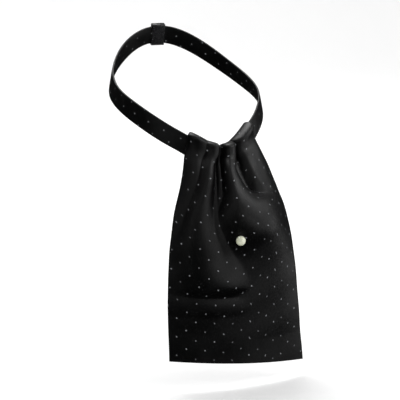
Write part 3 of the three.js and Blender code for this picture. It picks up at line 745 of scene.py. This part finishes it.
def pinFrame():
    # where the pin goes through the cloth, and the cloth's outward direction there
    share = np.array([0.0, 0.02, -0.02, 0, 0]) + pin["across"]
    drop = np.array([0, 0, 0, 1.0, -1.0]) + pin["drop"]
    p = frontPoint(share, drop)
    return p[0], unit(np.cross(p[3] - p[4], p[1] - p[2]))


def revolved(profile, place, axis, steps):
    # a profile of (radius, height) turned about the axis; a radius of nothing is one shared point
    side = unit(np.cross(axis, (0.3, 0.2, 1.0)))
    other = np.cross(axis, side)
    turn = np.linspace(0, 2 * np.pi, steps, endpoint=False)
    ring = side * np.cos(turn)[:, None] + other * np.sin(turn)[:, None]
    radius, height = np.array(profile).T
    inner = place + axis * height[1:-1, None, None] + ring[None] * radius[1:-1, None, None]
    poles = [place + axis * height[0], place + axis * height[-1]]
    points = np.concatenate([inner.reshape(-1, 3), poles])
    number = np.arange(inner.shape[0] * steps).reshape(inner.shape[0], steps)
    closed = np.concatenate([number, number[:, :1]], axis=1)
    faces = gridFaces(closed).tolist()
    first, last = len(points) - 2, len(points) - 1
    faces += [[first, a, b] for a, b in zip(closed[0][:-1].tolist(), closed[0][1:].tolist())]
    faces += [[b, a, last] for a, b in zip(closed[-1][:-1].tolist(), closed[-1][1:].tolist())]
    return points, faces


def outwards(piece):
    # turns every face to the outside
    built = bmesh.new()
    built.from_mesh(piece.data)
    bmesh.ops.recalc_face_normals(built, faces=built.faces)
    built.to_mesh(piece.data)
    built.free()


def makePearlAndPin():
    place, axis = pinFrame()
    face = cloth["thickness"] / 2 + pin["clothClearance"]
    radius = pearl["diameter"] / 2
    rimRadius = pin["cupRadius"] * 0.8
    centre = face + pin["cupDepth"] + pearl["gapToCup"] + np.sqrt(radius ** 2 - rimRadius ** 2)
    t = np.linspace(-np.pi / 2, np.pi / 2, 49)
    ball = np.stack([radius * np.cos(t), centre + radius * np.sin(t)], -1)
    points, faces = revolved(ball, place, axis, 64)
    bead = makeSolid("pearl_bead", points, faces, nacreMaterial)
    back, reach, post = -face - pin["keeperThickness"], pin["keeperRadius"], pin["postRadius"]
    cup, rimUp = pin["cupRadius"], face + pin["cupDepth"]
    profile = [(0, back), (reach - 0.3, back), (reach - 0.08, back + 0.1), (reach, back + 0.35),
               (reach - 0.05, -face - 0.2), (reach - 0.3, -face), (post + 0.2, -face),
               (post, -face + 0.2), (post, face - 0.2), (post + 0.15, face),
               (cup * 0.55, face + 0.05), (cup * 0.8, face + 0.3), (cup * 0.97, face + 0.8),
               (cup, rimUp - 0.12), (cup * 0.97, rimUp), (cup * 0.84, rimUp - 0.02),
               (cup * 0.6, face + 0.75), (0, face + 0.58)]
    points, faces = revolved(profile, place, axis, 48)
    return bead, makeSolid("pearl_pin_metal", points, faces, silverMaterial)


def makeSolid(name, points, faces, material):
    mesh = bpy.data.meshes.new(name)
    mesh.from_pydata((points * mm).tolist(), [], faces)
    mesh.shade_smooth()
    mesh.materials.append(material)
    piece = bpy.data.objects.new(name, mesh)
    bpy.context.scene.collection.objects.link(piece)
    outwards(piece)
    return piece


bead, pinPiece = makePearlAndPin()
for piece, node, slotName in ((bead, "pearl", "pearl"), (pinPiece, "pearl_pin", "pin_metal")):
    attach(piece, "root")
    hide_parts(node)
print("stage: pearl and pin")

# stage and light

studio = {
    "floorHeight": -0.2365,
    "floorColour": (0.86, 0.86, 0.86, 1), "floorGlow": 0.20, "wallRadius": 3.2,
    "worldColour": (1.0, 1.0, 1.0, 1), "worldStrength": 0.02,
    "aim": (0.0, -0.10, -0.12), "away": 1.1,
    "softBoxes": {                         # turn from straight in front, height, size, watts
        "overhead": (0, 80, 0.5, 0.20), "frontHigh": (20, 50, 0.5, 0.30),
        "front": (20, 15, 0.5, 0.90), "frontLow": (40, 0, 0.5, 0.85),
        "right": (80, 30, 0.5, 0.90), "rightHigh": (65, 45, 0.5, 2.20),
        "rightLow": (80, 0, 0.5, 1.30), "rightBack": (110, 40, 0.5, 0.20),
        "left": (-60, 15, 0.5, 0.35), "leftHigh": (-30, 40, 0.5, 0.40)},
    "paper": {"place": (0.0, 0.9, 1.5), "aim": (0.0, 2.2, -0.24), "size": 1.6, "power": 26.0},
    "floor": {"place": (0.0, 0.75, 1.25), "aim": (0.0, -0.1, -0.24), "size": 1.0, "power": 9.0},
}


def makeStage(look):
    # a round paper floor that sweeps up into a wall all the way round
    turn = np.linspace(0, np.pi / 2, 17)
    bend, wall, top, flatSteps = 1.2, look["wallRadius"], 5.0, 8
    radius = np.linspace(0, wall - bend, flatSteps + 1)[:-1]
    radius = np.concatenate([radius, wall - bend + bend * np.sin(turn), [wall]])
    height = np.concatenate([np.zeros(flatSteps), bend - bend * np.cos(turn), [top]])
    height = height + look["floorHeight"]
    around = np.linspace(0, 2 * np.pi, 96, endpoint=False)
    ring = vec(radius[1:, None] * np.cos(around), radius[1:, None] * np.sin(around), height[1:, None])
    number = np.arange(ring.shape[0] * len(around)).reshape(-1, len(around)) + 1
    number = np.concatenate([number, number[:, :1]], axis=1)
    fan = np.stack([0 * number[0, :-1], 0 * number[0, :-1], number[0, :-1], number[0, 1:]], -1)
    n = Nodes("pale_paper")
    n.shader.inputs["Base Color"].default_value = look["floorColour"]
    n.shader.inputs["Roughness"].default_value = 0.9
    n.shader.inputs["Specular IOR Level"].default_value = 0.1
    n.shader.inputs["Emission Color"].default_value = look["floorColour"]
    n.shader.inputs["Emission Strength"].default_value = look["floorGlow"]
    points = np.concatenate([[(0, 0, look["floorHeight"])], ring.reshape(-1, 3)])
    faces = fan[:, 1:].tolist() + gridFaces(number).tolist()
    floor = makePiece("paper_sweep", points / mm, faces, [n.material])
    floor.visible_glossy = False           # the black cloth mirrors the lights and not the paper


def makeLight(name, place, aim, size, power):
    # a square soft light; it shines to the front only
    data = bpy.data.lights.new(name, "AREA")
    data.size = size
    data.energy = power
    light = bpy.data.objects.new(name, data)
    light.location = place
    light.rotation_euler = (Vector(aim) - Vector(place)).to_track_quat("-Z", "Y").to_euler()
    bpy.context.scene.collection.objects.link(light)


def makeSoftBoxes(look):
    for name, (turn, height, size, power) in look["softBoxes"].items():
        turn, height = np.radians(turn), np.radians(height)
        away = Vector((np.sin(turn) * np.cos(height), -np.cos(turn) * np.cos(height), np.sin(height)))
        makeLight(name, Vector(look["aim"]) + away * look["away"], look["aim"], size, power)


makeStage(studio)
makeSoftBoxes(studio)
for lightName in ("paper", "floor"):       # these two stand behind the object and light the paper
    setup = studio[lightName]
    makeLight(lightName, setup["place"], setup["aim"], setup["size"], setup["power"])
world = bpy.data.worlds.new("studio")
bpy.context.scene.world = world
world.use_nodes = True
world.node_tree.nodes["Background"].inputs["Color"].default_value = studio["worldColour"]
world.node_tree.nodes["Background"].inputs["Strength"].default_value = studio["worldStrength"]
bpy.context.scene.view_settings.view_transform = "Standard"
print("stage: studio")
